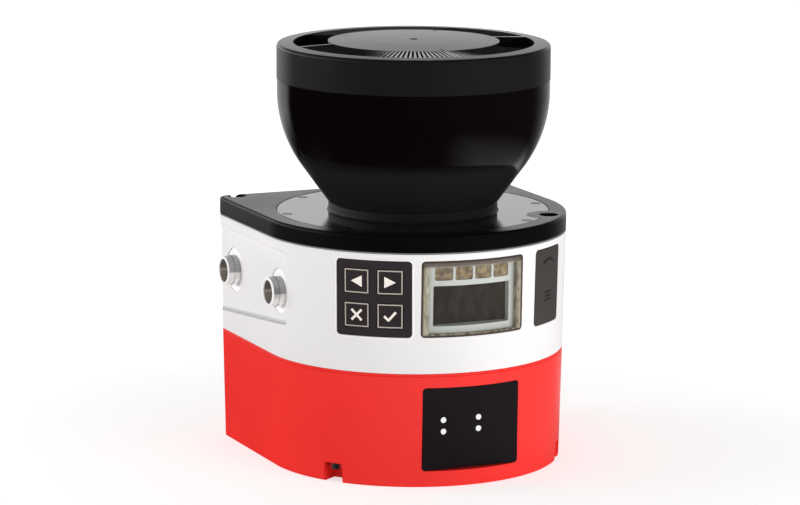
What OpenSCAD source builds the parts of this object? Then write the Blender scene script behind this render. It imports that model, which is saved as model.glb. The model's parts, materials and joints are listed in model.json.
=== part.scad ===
// Safety laser scanner, compact type.
// Millimetres. The origin is on the scan axis, on the plane that the base stands on.
// +Z is up, -Y is the front with the display, and the two sockets are on the -X side.
// Angles called "bearing" are seen from above: 0 is straight ahead and + is towards +X.

/* [Housing plan] */
// Radius of the round front, at the top of the upper housing
front_r = 55.9; // [55:0.1:58]
// Distance from the scan axis to the flat back
back_y = 53.5; // [52.5:0.1:56]
// Radius of the two upright back corners
corner_r = 4; // [3.5:0.1:6]
// Draft of the outer walls, in degrees from upright
draft_angle = 1.25; // [0.8:0.05:1.5]
// Wall of the housings at the sides and the back
wall = 2.4; // [2:0.1:3]
// Wall behind the round front of the upper housing, which carries the panels
fascia_t = 9; // [8.6:0.1:10]

/* [Heights] */
// Height of the base housing
base_h = 41.3; // [41:0.1:44]
// Height of the upper housing
upper_h = 43; // [42.6:0.1:46]
// Thickness of the housing gasket
gasket_t = 0.5; // [0.3:0.1:1]
// Height of the top cover
cover_h = 6.2; // [5.8:0.1:8]
// Floor of the base housing
floor_t = 3; // [2.4:0.1:4]

/* [Side pocket] */
// Depth of the socket pocket at the top of the housing
pocket_deep = 1.5; // [1.2:0.1:1.8]
// Height of the pocket's top edge above the seam of the housings
pocket_top = 39.5; // [37:0.1:41]
// Height of the pocket's ledge above the seam, in line with the scan axis
pocket_ledge = 12; // [10:0.1:14]
// Slope of the ledge towards the back, in degrees
ledge_angle = 5.5; // [4:0.1:6]
// Radius of the hollow rounding along the pocket's two long edges
pocket_fillet = 1.2; // [0.9:0.1:1.4]

/* [Sockets] */
// Outer diameter of the socket tube
socket_d = 10.6; // [10.2:0.1:11]
// How much wider the collar at the foot of the tube is
collar_step = 0.4; // [0.2:0.1:1]
// How far the collar stands out of the pocket's floor
collar_l = 1.9; // [1.2:0.1:2.4]
// Bore of the socket
socket_bore = 8.6; // [8:0.1:9]
// Diameter of the spot face round a socket
spot_d = 16.3; // [15.6:0.1:17]
// Diameter of the ring of contacts
contact_ring_d = 5.5; // [5:0.1:6]
// How far the socket stands out of the pocket's floor
socket_out = 4.5; // [3.5:0.1:6]
// Distance between the two socket axes
socket_pitch = 44; // [40:0.5:46]
// Distance from the scan axis back to the rear socket
socket_y = 39; // [37:0.5:40]
// Height of the socket axes above the seam
socket_z = 24.1; // [23:0.1:25]
// Contacts on the ring of each socket
contact_count = 7; // [4:1:8]
// Diameter of one contact
contact_d = 0.8; // [0.6:0.1:1]

/* [Front panels] */
// Height of the lower edge of the panels above the seam
panel_low = 13.3; // [12.6:0.1:14]
// Height of the panels
panel_h = 27.2; // [26.4:0.1:27.6]
// Corner radius of the panels
panel_corner = 1.3; // [0.8:0.1:1.8]
// Width of the display
display_w = 39; // [37.6:0.1:39.8]
// Width of the keypad
keypad_w = 27.2; // [26.6:0.1:28]
// Width of the housing's rib between the keypad and the display
keypad_rib = 3.5; // [3:0.1:4]
// Thickness of the display lens
display_lens_t = 2.2; // [1.6:0.1:2.6]
// Width of the window over the liquid crystal display
lcd_w = 29.2; // [28:0.1:30]
// Height of the window over the liquid crystal display
lcd_h = 14.4; // [13.6:0.1:15]
// Width of one indicator light
light_w = 6.4; // [5.8:0.1:6.6]
// Height of one indicator light
light_h = 4.7; // [4.2:0.1:5]
// Distance between two indicator lights, along the front
light_pitch = 7.7; // [7.4:0.1:7.8]
// Thickness of the keypad plate
keypad_t = 1.5; // [1.2:0.1:2]
// Width of one key
key_w = 9.3; // [8.6:0.1:9.5]
// Height of one key
key_h = 8.9; // [8:0.1:9.2]
// Width between the two columns of keys
key_pitch = 12.2; // [11.8:0.1:12.7]
// Height between the two rows of keys
key_rise = 12.15; // [11.6:0.05:12.6]
// How far a key sinks when it is pressed
key_travel = 0.5; // [0.3:0.05:0.6]
// Width of the housing between the display and the USB cover
usb_rib = 7.3; // [6.4:0.1:7.8]
// Width of the USB cover
usb_w = 17.4; // [16.6:0.1:17.8]
// Thickness of the USB cover
usb_t = 2.2; // [2:0.1:2.6]

/* [Communication panel] */
// Width of the panel in the base
comm_w = 37; // [34:0.5:39]
// Height of the panel in the base
comm_h = 30; // [27:0.5:31]
// Lower edge of the panel above the ground
comm_z = 6.1; // [5.4:0.1:7]
// How far the panel's face lies behind the foremost point of the housings
comm_deep = 4.5; // [4.2:0.1:4.8]
// Thickness of the panel
comm_t = 2; // [1.6:0.1:2.4]
// Diameter of a light pipe
pipe_d = 2.1; // [1.6:0.1:2.4]

/* [Optics cover] */
// Width of the top cover's rim round the flange disc
flange_rim = 6.3; // [5.9:0.1:6.7]
// Thickness of the flange disc
flange_t = 2.5; // [2:0.1:3]
// Radius of the neck
neck_r = 30.8; // [30:0.1:32]
// Height of the neck above the flange
neck_h = 3.2; // [2.6:0.1:4]
// How far the bowl's rim lies inside the edge of the flange
bowl_step = 0.1; // [0:0.1:1]
// Height of the bowl above the flange
bowl_h = 48.3; // [47.6:0.1:51]
// Radius of the bowl's round side
bowl_arc_r = 46; // [44:0.5:48]
// Wall of the optics cover
bowl_wall = 2.2; // [1.8:0.1:2.6]
// Screws that hold the optics cover
flange_screws = 8; // [6:1:8]

/* [Cap] */
// How far the cap stands out past the bowl
cap_over = 0.1; // [0:0.05:0.4]
// Height of the cap's upright side
cap_band = 12.6; // [12:0.1:14]
// Rise of the dome above the cap's side
cap_dome = 1.3; // [0.8:0.1:1.8]
// Width of the cap's rim outside the finned channels
channel_rim = 6; // [5:0.2:7]
// Width of the finned channels
channel_w = 12.6; // [11:0.2:14]
// Depth of the channels
channel_deep = 3; // [2:0.1:3.4]
// Depth of a channel where its fins run out
channel_shallow = 0.5; // [0.3:0.1:1]
// Angle between two fins
fin_pitch = 2.3; // [2:0.1:3]
// Width of the slot between two fins
fin_slot = 0.8; // [0.6:0.05:0.9]

/* [Mounting] */
// Distance between the mounting holes, across
mount_w = 66; // [56:1:70]
// Distance between the mounting holes, up
mount_rise = 42; // [40:1:44]
// Height of the lower mounting holes above the ground
mount_z = 22; // [18:0.5:23]
// Diameter of the mounting thread
mount_d = 5; // [4:0.5:6]

/* [Clearances] */
// Gap round a panel in its pocket
panel_gap = 0.15; // [0.1:0.05:0.25]
// Gap between two pieces that move past each other
run_gap = 0.3; // [0.25:0.05:0.35]
// Radial gap of a shaft in its bearing
shaft_gap = 0.05; // [0.03:0.01:0.08]

/* [Hidden] */
$fn = 96;
SMALL_FN = 32;
EPS = 0.01;
CUT = 20;

RED = [0.86, 0.14, 0.12];
WHITE = [0.91, 0.90, 0.90];
BLACK = [0.10, 0.10, 0.11];
SMOKE = [0.13, 0.12, 0.13];
ZINC = [0.72, 0.73, 0.75];
BOARD = [0.10, 0.36, 0.20];

// Levels
upper_top = base_h + upper_h;
cover_low = upper_top + gasket_t;
cover_top = cover_low + cover_h;
bowl_top = cover_top + bowl_h;
cap_rim = bowl_top + cap_band;
panel_z0 = base_h + panel_low;
panel_mid_z = panel_z0 + panel_h / 2;

// Places that follow the round front
pocket_x = front_r - pocket_deep;
comm_y = front_r - comm_deep;
flange_r = front_r - flange_rim;
bowl_r = flange_r - bowl_step;
cap_r = bowl_r + cap_over;
channel_out = cap_r - channel_rim;
channel_in = channel_out - channel_w;

// How far the outer wall lies inside front_r at height z, and its radius there
function lean(z) = max(0, (upper_top - z) * tan(draft_angle));
function wall_r(z) = front_r - lean(z);

// Bearings of the front panels, from their widths on the round front
panel_r = wall_r(panel_mid_z);
function half_angle(w) = asin(w / 2 / panel_r);
function arc_angle(l) = l / panel_r * 180 / PI;
keypad_bearing = -(half_angle(display_w) + arc_angle(keypad_rib) + half_angle(keypad_w));
usb_bearing = half_angle(display_w) + arc_angle(usb_rib) + half_angle(usb_w);
key_bearing = half_angle(key_pitch);

// Quarter round of radius r from an upright wall to a level face, as [inset, drop]
ROUND_STEPS = 4;
function round_edge(r) = [
    for (i = [0:ROUND_STEPS]) let (a = 90 * i / ROUND_STEPS) [r * (1 - cos(a)), r * (1 - sin(a))]
];

// Outer edges of the housings, bottom to top, as [inset, z]
edge_r = 0.9;
lip_h = 1.1;
lip_groove = 0.25;
base_edge = concat(
    [for (i = [ROUND_STEPS:-1:0]) let (p = round_edge(edge_r)[i]) [lean(p[1]) + p[0], p[1]]],
    [[lean(base_h - lip_h), base_h - lip_h],
     [lean(base_h - lip_h) + lip_groove, base_h - lip_h + lip_groove / 2],
     [lean(base_h - lip_h), base_h - lip_h + lip_groove]],
    [for (p = round_edge(lip_h / 2)) [lean(base_h) + p[0], base_h - p[1]]]);
upper_edge = [
    [lean(base_h) + 0.2, base_h],
    [lean(base_h), base_h + 0.2],
    [0, upper_top]
];
gasket_inset = 0.35;
gasket_edge = [
    [gasket_inset, upper_top],
    [gasket_inset, cover_low]
];
cover_foot = 0.15;
cover_edge = concat(
    [[cover_foot, cover_low], [0, cover_low + 2 * cover_foot]],
    [for (p = round_edge(edge_r)) [p[0], cover_top - p[1]]]);

// Closed body over the plan of the housings: round front, flat sides and back
module body_sweep(edge) {
    low = edge[0][1];
    high = edge[len(edge) - 1][1];
    straight = back_y - corner_r;
    rotate_extrude(angle = 180, start = 180)
        polygon(concat([[0, low]], [for (p = edge) [front_r - p[0], p[1]]], [[0, high]]));
    translate([0, straight, 0]) rotate([90, 0, 0]) linear_extrude(straight)
        polygon(concat(
            [for (p = edge) [front_r - p[0], p[1]]],
            [for (i = [len(edge) - 1:-1:0]) [edge[i][0] - front_r, edge[i][1]]]));
    translate([corner_r - front_r, 0, 0]) rotate([90, 0, 90]) linear_extrude(2 * (front_r - corner_r))
        polygon(concat([[straight, low]], [for (p = edge) [back_y - p[0], p[1]]], [[straight, high]]));
    for (side = [0, 1])
        translate([(1 - 2 * side) * (front_r - corner_r), straight, 0])
            rotate_extrude(angle = 90, start = 90 * side)
                polygon(concat([[0, low]], [for (p = edge) [corner_r - p[0], p[1]]], [[0, high]]));
}

// Upright block over the same plan, without draft, for cavities
module plan_block(front_inset, side_inset, z0, z1) {
    translate([0, 0, z0]) rotate_extrude(angle = 180, start = 180)
        square([front_r - front_inset, z1 - z0]);
    translate([side_inset - front_r, 0, z0])
        cube([2 * (front_r - side_inset), back_y - side_inset, z1 - z0]);
}

// Rounded rectangle about the origin, of true arcs
module round_rect(w, h, r) {
    square([w - 2 * r, h], center = true);
    square([w, h - 2 * r], center = true);
    for (x = [-1, 1], y = [-1, 1])
        translate([x * (w / 2 - r), y * (h / 2 - r)]) circle(r, $fn = SMALL_FN);
}

// Puts children on the round front: x across, y up, z outwards from the scan axis
module at_bearing(bearing, z) {
    translate([0, 0, z]) rotate([0, 0, bearing]) rotate([90, 0, 0]) children();
}

// Ring that follows the drafted front between two depths below its surface
module front_band(depth_in, depth_out, z0, z1) {
    rotate_extrude()
        polygon([
            [wall_r(z0) - depth_in, z0], [wall_r(z0) - depth_out, z0],
            [wall_r(z1) - depth_out, z1], [wall_r(z1) - depth_in, z1]
        ]);
}

// Panel-shaped piece of the front between two depths below its surface
module front_piece(bearing, z, w, h, r, depth_in, depth_out) {
    intersection() {
        at_bearing(bearing, z) linear_extrude(front_r + CUT) round_rect(w, h, r);
        front_band(depth_in, depth_out, z - h / 2 - 1, z + h / 2 + 1);
    }
}

// ---- Screws ----
screw_r = 1.5;
screw_head_r = 3;
screw_head_h = 2.4;
screw_grip = 10;
screw_gap = 0.2;
boss_r = 5.6;
notch_bearing = 55;
notch_w = 7.6;
notch_h = 7;
notch_deep = 8.9;
notch_screw_deep = 5.4;
notch_in_r = front_r - notch_deep;
notch_screw_r = front_r - notch_screw_deep;
screw_drive_r = 1.5;
screw_drive_h = 1.2;
back_boss_inset = 8.6;

// Positions of the four screws that join the housings, front pair first
function screw_places() = concat(
    [for (s = [-1, 1]) [s * notch_screw_r * sin(notch_bearing), -notch_screw_r * cos(notch_bearing)]],
    [for (s = [-1, 1]) [s * (front_r - back_boss_inset), back_y - back_boss_inset]]);

module at_screws() {
    for (p = screw_places()) translate([p[0], p[1], 0]) children();
}

// Hexagon socket in a screw head that faces down
module drive_hole(r, deep) {
    translate([0, 0, -EPS]) cylinder(r = r, h = deep + EPS, $fn = 6);
}

module housing_screws() {
    color(ZINC) at_screws() difference() {
        union() {
            translate([0, 0, notch_h - screw_head_h])
                cylinder(r = screw_head_r, h = screw_head_h, $fn = SMALL_FN);
            translate([0, 0, notch_h])
                cylinder(r = screw_r, h = base_h + screw_grip - notch_h, $fn = SMALL_FN);
        }
        translate([0, 0, notch_h - screw_head_h]) drive_hole(screw_drive_r, screw_drive_h);
    }
}

// ---- Mounting pads on the back ----
pad_r = 6.5;
insert_wall = 1.4;
insert_r = mount_d / 2 + insert_wall;
insert_l = 8;
pad_l = 10;

module at_mounts(z) {
    for (s = [-1, 1]) translate([s * mount_w / 2, back_y, z]) rotate([90, 0, 0]) children();
}

module mount_inserts() {
    color([0.80, 0.66, 0.34]) for (z = [mount_z, mount_z + mount_rise]) at_mounts(z) difference() {
        cylinder(r = insert_r, h = insert_l, $fn = SMALL_FN);
        translate([0, 0, -EPS]) cylinder(d = mount_d, h = insert_l + 2 * EPS, $fn = SMALL_FN);
    }
}

// ---- Base housing ----
comm_mid_z = comm_z + comm_h / 2;
comm_back = comm_y - comm_t;
comm_wall = 2.4;
board_t = 1.6;
board_z = 18;
standoff_r = 3.2;
standoff_hole_r = 1.6;
pipe_columns = [-10.5, 3.15];
pipe_rows = [-1.25, 2.9];
pipe_proud = 0.1;
comm_corner = 1.2;
comm_pad = 3;
status_inset = 2;
board_side = 19.9;
board_nose = 29.9;
board_tail = 17.5;
board_half_w = front_r - board_side;
board_front = board_nose - front_r;
board_back = back_y - board_tail;
standoff_inset = 4;
standoff_x = board_half_w - standoff_inset;
standoff_front = board_front + standoff_inset;
standoff_back = board_back - standoff_inset;

module comm_outline(gap) {
    round_rect(comm_w + 2 * gap, comm_h + 2 * gap, comm_corner + gap);
}

module at_comm() {
    translate([0, -comm_back, comm_mid_z]) rotate([90, 0, 0]) children();
}

module at_pipes() {
    for (x = pipe_columns, y = pipe_rows) translate([x, y, 0]) children();
}

module base_cavity() {
    difference() {
        plan_block(lean(0) + wall, lean(0) + wall, floor_t, base_h + 1);
        translate([-comm_w / 2 - comm_pad, -front_r, 0])
            cube([comm_w + 2 * comm_pad, front_r - comm_back + comm_wall, base_h + 2]);
        at_screws() cylinder(r = boss_r, h = base_h + 2, $fn = SMALL_FN);
        at_mounts(mount_z) cylinder(r = pad_r, h = pad_l, $fn = SMALL_FN);
        for (x = [-1, 1], y = [standoff_front, standoff_back])
            translate([x * standoff_x, y, 0]) cylinder(r = standoff_r, h = board_z, $fn = SMALL_FN);
        front_notch_blocks(notch_w / 2 + wall, notch_h + wall, notch_in_r - wall);
    }
}

// Blocks along the bearings of the front notches
module front_notch_blocks(half_w, top_z, from_r) {
    for (s = [-1, 1]) rotate([0, 0, s * notch_bearing]) translate([-half_w, -front_r - 1, -EPS])
        cube([2 * half_w, front_r + 1 - from_r, top_z + EPS]);
}

// Step along the foot of the back
heel_h = 8;
heel_in = 1.3;

module base_housing() {
    color(RED) difference() {
        union() {
            body_sweep(base_edge);
            at_mounts(mount_z) cylinder(r = pad_r, h = pad_l, $fn = SMALL_FN);
        }
        base_cavity();
        at_comm() linear_extrude(CUT) comm_outline(panel_gap);
        at_comm() translate([0, 0, -CUT]) linear_extrude(CUT + 1) at_pipes() circle(d = pipe_d, $fn = SMALL_FN);
        front_notch_blocks(notch_w / 2, notch_h, notch_in_r);
        translate([-front_r - 1, back_y - heel_in, -1]) cube([2 * front_r + 2, CUT, heel_h + 1]);
        at_screws() translate([0, 0, -1]) cylinder(r = screw_r + screw_gap, h = base_h + 2, $fn = SMALL_FN);
        for (i = [2, 3]) translate([screw_places()[i][0], screw_places()[i][1], -1])
            cylinder(r = screw_head_r + 2 * screw_gap, h = notch_h + 1, $fn = SMALL_FN);
        at_mounts(mount_z) translate([0, 0, -EPS]) cylinder(r = insert_r, h = insert_l + EPS, $fn = SMALL_FN);
    }
}

module communication_panel() {
    color(BLACK) at_comm() difference() {
        linear_extrude(comm_t) comm_outline(0);
        translate([0, 0, -1]) linear_extrude(comm_t + 2) at_pipes() circle(d = pipe_d, $fn = SMALL_FN);
    }
}

module status_light_pipes() {
    color([0.93, 0.93, 0.95]) at_comm() translate([0, 0, -comm_wall])
        linear_extrude(comm_t + comm_wall + pipe_proud) at_pipes() circle(d = pipe_d, $fn = SMALL_FN);
}

module status_board() {
    color(BOARD) translate([-comm_w / 2, comm_wall - comm_back, comm_z + status_inset])
        cube([comm_w, board_t, comm_h - 2 * status_inset]);
}

module main_board() {
    color(BOARD) translate([0, 0, board_z])
        linear_extrude(board_t) difference() {
            translate([-board_half_w, board_front]) square([2 * board_half_w, board_back - board_front]);
            for (x = [-1, 1], y = [standoff_front, standoff_back])
                translate([x * standoff_x, y]) circle(r = standoff_hole_r, $fn = SMALL_FN);
        }
}

// ---- Upper housing ----
deck_t = 3;
deck_drop = 3.3;
deck_hole_r = 14;
deck_top = upper_top - deck_drop;
boss_cap = 3;
upper_boss_h = screw_grip + boss_cap;
spot_deep = 0.3;
socket_wall_x = front_r - lean(base_h) - wall;
key_flange_t = 0.8;
key_flange = 0.8;
dome_h = 0.5;
key_rest = 0.05;
keypad_depth = keypad_t + run_gap + key_flange_t + key_travel + key_rest + dome_h;
display_skin = 0.6;
display_floor = front_r - fascia_t + display_skin;
usb_depth = usb_t + run_gap;

// Hollow rounding in the inner edge along a bar of length l
module hollow_fillet(r, l) {
    difference() {
        translate([-l / 2, 0, 0]) cube([l, r, r]);
        translate([-l / 2 - 1, r, r]) rotate([0, 90, 0]) cylinder(r = r, h = l + 2);
    }
}

// Seen from the side: x towards the front, y up, z outwards from the pocket's floor
module side_pocket() {
    ledge = base_h + pocket_ledge;
    top = base_h + pocket_top;
    slope = tan(ledge_angle);
    reach = front_r + CUT;
    translate([-pocket_x, 0, 0]) rotate([90, 0, -90]) difference() {
        linear_extrude(CUT) polygon([
            [-reach, ledge - slope * reach], [front_r / 2, ledge + slope * front_r / 2],
            [front_r / 2, top], [-reach, top]
        ]);
        translate([0, ledge, 0]) rotate([0, 0, ledge_angle]) hollow_fillet(pocket_fillet, 3 * reach);
        translate([0, top, 0]) mirror([0, 1, 0]) hollow_fillet(pocket_fillet, 3 * reach);
    }
}

module at_sockets() {
    for (i = [0, 1]) at_socket(i) children();
}

// Socket 0 is the rear one; z runs outwards from the pocket's floor
module at_socket(i) {
    translate([-pocket_x, socket_y - i * socket_pitch, base_h + socket_z]) rotate([0, -90, 0]) children();
}

module upper_housing() {
    color(WHITE) difference() {
        union() {
            body_sweep(upper_edge);
            at_mounts(mount_z + mount_rise) cylinder(r = pad_r, h = pad_l, $fn = SMALL_FN);
        }
        difference() {
            plan_block(fascia_t, lean(base_h) + wall, base_h - 1, deck_top - deck_t);
            at_screws() translate([0, 0, base_h - 2])
                cylinder(r = boss_r, h = upper_boss_h + 2, $fn = SMALL_FN);
            at_mounts(mount_z + mount_rise) cylinder(r = pad_r, h = pad_l, $fn = SMALL_FN);
        }
        top_cavity(deck_top, upper_top + 1);
        cylinder(r = deck_hole_r, h = upper_top, $fn = SMALL_FN);
        side_pocket();
        at_sockets() translate([0, 0, -spot_deep]) cylinder(d = spot_d, h = CUT);
        at_sockets() translate([0, 0, -CUT]) cylinder(d = socket_d, h = CUT + 1);
        at_sockets() translate([0, 0, -CUT])
            cylinder(d = nut_af / cos(30) + 2 * run_gap, h = CUT - nut_back);
        at_screws() translate([0, 0, base_h - 1]) cylinder(r = screw_r, h = screw_grip + 1, $fn = SMALL_FN);
        at_mounts(mount_z + mount_rise) translate([0, 0, -EPS])
            cylinder(r = insert_r, h = insert_l + EPS, $fn = SMALL_FN);
        front_piece(keypad_bearing, panel_mid_z, keypad_w + 2 * panel_gap, panel_h + 2 * panel_gap,
            panel_corner + panel_gap, keypad_depth, -2);
        at_bearing(0, panel_mid_z) translate([0, 0, display_floor]) linear_extrude(CUT)
            round_rect(display_w + 2 * panel_gap, panel_h + 2 * panel_gap, panel_corner + panel_gap);
        front_piece(usb_bearing, panel_mid_z, usb_w + 2 * run_gap, panel_h + 2 * run_gap,
            panel_corner + run_gap, usb_depth, -2);
        usb_port_place() translate([0, 0, -CUT]) linear_extrude(CUT + 1)
            round_rect(port_w, port_h, port_h / 2 - EPS);
        top_screw_bores();
    }
}

// ---- Keypad ----
key_corner = 0.6;
key_proud = 0.1;
dome_r = 2;

function key_z(row) = panel_mid_z + row * key_rise / 2;
function key_angle(column) = keypad_bearing + column * key_bearing;

module key_hole(column, row, gap) {
    at_bearing(key_angle(column), key_z(row)) linear_extrude(front_r + CUT)
        round_rect(key_w + 2 * gap, key_h + 2 * gap, key_corner + gap);
}

module keypad_panel() {
    color(BLACK) difference() {
        front_piece(keypad_bearing, panel_mid_z, keypad_w, panel_h, panel_corner, keypad_t, 0);
        for (column = [-1, 1], row = [-1, 1]) key_hole(column, row, run_gap / 2);
    }
}

module key_cap(column, row) {
    top = keypad_t + run_gap;
    color([0.25, 0.22, 0.23]) union() {
        front_piece(key_angle(column), key_z(row), key_w, key_h, key_corner,
            top + EPS, -key_proud);
        front_piece(key_angle(column), key_z(row), key_w + 2 * key_flange, key_h + 2 * key_flange,
            key_corner, top + key_flange_t, top);
    }
}

module key_left() { key_cap(-1, 1); }
module key_right() { key_cap(1, 1); }
module key_cancel() { key_cap(-1, -1); }
module key_confirm() { key_cap(1, -1); }

module key_domes() {
    color(ZINC) for (column = [-1, 1], row = [-1, 1]) intersection() {
        at_bearing(key_angle(column), key_z(row)) cylinder(r = dome_r, h = front_r, $fn = SMALL_FN);
        front_band(keypad_depth, keypad_depth - dome_h, panel_z0, panel_z0 + panel_h);
    }
}

// ---- Display ----
lcd_t = 0.8;
lcd_rise = -2.9;
light_rise = 8.7;
light_t = 1.2;
light_deep = 0.4;
lcd_corner = 0.5;
light_corner = 0.8;
fit_gap = 0.05;
lens_gap = 0.1;
frame_depth = display_lens_t + lens_gap;

// Prism of the display's outline, from its floor outwards
module display_prism() {
    at_bearing(0, panel_mid_z) translate([0, 0, display_floor]) linear_extrude(CUT)
        round_rect(display_w, panel_h, panel_corner);
}

// Block of the liquid crystal display's outline, between two distances from the scan axis
module lcd_block(from, to, gap) {
    at_bearing(0, panel_mid_z + lcd_rise) translate([0, 0, from]) linear_extrude(to - from)
        round_rect(lcd_w + 2 * gap, lcd_h + 2 * gap, lcd_corner);
}

// The four lights, between two depths below the front
module light_pieces(gap, depth_in, depth_out) {
    for (i = [-1.5:1:1.5])
        front_piece(arc_angle(i * light_pitch), panel_mid_z + light_rise, light_w + 2 * gap, light_h + 2 * gap,
            light_corner, depth_in, depth_out);
}

module display_lens() {
    color([0.62, 0.58, 0.52, 0.6])
        front_piece(0, panel_mid_z, display_w, panel_h, panel_corner, display_lens_t, 0);
}

module display_frame() {
    color([0.75, 0.75, 0.70]) difference() {
        intersection() {
            display_prism();
            front_band(front_r / 2, frame_depth, panel_z0 - 1, panel_z0 + panel_h + 1);
        }
        lcd_block(display_floor - 1, front_r, fit_gap);
        light_pieces(fit_gap, frame_depth + light_deep + light_t, 0);
    }
}

module display_lcd() {
    color([0.22, 0.20, 0.20]) lcd_block(display_floor, display_floor + lcd_t, 0);
}

module indicator_lights() {
    color([0.80, 0.78, 0.74])
        light_pieces(0, frame_depth + light_deep + light_t - EPS, frame_depth + light_deep);
}

// ---- USB port and its cover ----
port_w = 9.4;
port_h = 3.8;
port_wall = 0.4;
port_rise = 4;
port_l = 8;
port_sunk = 0.6;
port_floor = 1;
tongue_inset = 1.5;
tongue_t = 0.9;

module usb_port_place() {
    at_bearing(usb_bearing, panel_mid_z + port_rise)
        translate([0, 0, wall_r(panel_mid_z + port_rise) - usb_depth - port_sunk])
            children();
}

module usb_port_shell() {
    color(ZINC) usb_port_place() translate([0, 0, -port_l]) difference() {
        linear_extrude(port_l) round_rect(port_w, port_h, port_h / 2 - EPS);
        translate([0, 0, port_floor]) linear_extrude(port_l)
            round_rect(port_w - 2 * port_wall, port_h - 2 * port_wall, port_h / 2 - port_wall - EPS);
    }
}

module usb_port_tongue() {
    color(BLACK) usb_port_place() translate([0, 0, port_floor - port_l])
        linear_extrude(port_l - port_floor - tongue_t) square([port_w - 2 * tongue_inset, tongue_t], center = true);
}

// The cover bends open at its lower outer edge
module usb_cover() {
    color([0.33, 0.30, 0.29])
        front_piece(usb_bearing, panel_mid_z, usb_w, panel_h, panel_corner, usb_t, 0);
}

// ---- Sockets ----
socket_in = 9;
socket_chamfer = 0.3;
nut_af = 14;
nut_t = 2.5;
nut_back = pocket_x - socket_wall_x;
insert_drop = 7;
contact_tail = 1;
contact_out = 4.5;
socket_board_h = 20;
socket_board_end = 6;

module socket_body(i) {
    color(ZINC) at_socket(i) difference() {
        union() {
            translate([0, 0, -socket_in]) cylinder(d = socket_d, h = socket_in + socket_out - socket_chamfer);
            translate([0, 0, -spot_deep]) cylinder(d = socket_d + collar_step, h = spot_deep + collar_l);
            translate([0, 0, socket_out - socket_chamfer])
                cylinder(d1 = socket_d, d2 = socket_d - 2 * socket_chamfer, h = socket_chamfer);
        }
        translate([0, 0, -socket_in - 1]) cylinder(d = socket_bore, h = socket_in + socket_out + 2);
    }
}

module socket_rear() { socket_body(0); }
module socket_front() { socket_body(1); }

module socket_nuts() {
    color(ZINC) at_sockets() translate([0, 0, -nut_back - nut_t]) difference() {
        cylinder(d = nut_af / cos(30), h = nut_t, $fn = 6);
        translate([0, 0, -1]) cylinder(d = socket_d, h = nut_t + 2);
    }
}

module socket_inserts() {
    color(BLACK) at_sockets() translate([0, 0, -socket_in]) difference() {
        cylinder(d = socket_bore, h = socket_in + socket_out - insert_drop);
        translate([0, 0, -1]) contact_ring(socket_in + socket_out);
    }
}

// One contact in the middle and the others on a ring, each of length l
module contact_ring(l) {
    cylinder(d = contact_d, h = l, $fn = SMALL_FN);
    for (i = [0:contact_count - 1]) rotate([0, 0, 90 + 360 / contact_count * (i + 0.5)])
        translate([contact_ring_d / 2, 0, 0]) cylinder(d = contact_d, h = l, $fn = SMALL_FN);
}

module socket_contacts() {
    color([0.85, 0.70, 0.36]) at_sockets() translate([0, 0, -socket_in - contact_tail])
        contact_ring(socket_in + contact_tail + socket_out - insert_drop + contact_out);
}

module socket_board() {
    color(BOARD) at_socket(0)
        translate([-socket_board_h / 2, -socket_pitch - socket_board_end, -socket_in - contact_tail - board_t])
            cube([socket_board_h, socket_pitch + 2 * socket_board_end, board_t]);
}

// ---- Gasket and top cover ----
opening_in = 7;
opening_r = flange_r - opening_in;
recess_r = flange_r + panel_gap;
cover_screw_r = 1.5;
cover_head_r = 2.6;
cover_head_h = 2;
cover_well_r = 3.5;
cover_well_h = 3.2;
scallop_r = 8;
scallop_gap = 0.15;
cover_front_bearing = 53.1;
cover_front_in = 5.5;
cover_front_r = front_r - cover_front_in;
cover_front_place = [cover_front_r * sin(cover_front_bearing), -cover_front_r * cos(cover_front_bearing)];
cover_back_inset = [6.7, 3.4];
cover_boss_r = 4.5;
seal_in = 4.8;
seal_w = 1.4;
seal_out_r = flange_r - seal_in;
seal_in_r = seal_out_r - seal_w;
cover_bore_l = 6;
cover_screw_l = 5.5;
cover_drive_r = 1.4;
cover_drive_h = 1.2;
seal_t = 1;

function cover_places() = [
    cover_front_place,
    [front_r - cover_back_inset[0], back_y - cover_back_inset[1]],
    [cover_back_inset[0] - front_r, back_y - cover_back_inset[1]]
];

module at_cover_screws(z) {
    for (p = cover_places()) translate([p[0], p[1], z]) children();
}

module top_screw_bores() {
    at_cover_screws(upper_top - cover_bore_l) cylinder(r = cover_screw_r, h = cover_bore_l + 1, $fn = SMALL_FN);
}

// Space above the deck, with the bosses of the cover's screws left standing
module top_cavity(z0, z1) {
    difference() {
        plan_block(fascia_t, lean(base_h) + wall, z0, z1);
        at_cover_screws(z0 - 1) cylinder(r = cover_boss_r, h = z1 - z0 + 2, $fn = SMALL_FN);
    }
}

module housing_gasket() {
    color([0.55, 0.55, 0.56]) difference() {
        body_sweep(gasket_edge);
        top_cavity(upper_top - 1, cover_low + 1);
        at_cover_screws(upper_top - 1) cylinder(r = cover_screw_r + screw_gap, h = CUT, $fn = SMALL_FN);
    }
}

// Ring seal in its groove, under the flange of the optics cover
module seal_ring() {
    translate([0, 0, cover_top - flange_t - seal_t]) difference() {
        cylinder(r = seal_out_r, h = seal_t);
        translate([0, 0, -1]) cylinder(r = seal_in_r, h = seal_t + 2);
    }
}

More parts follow.
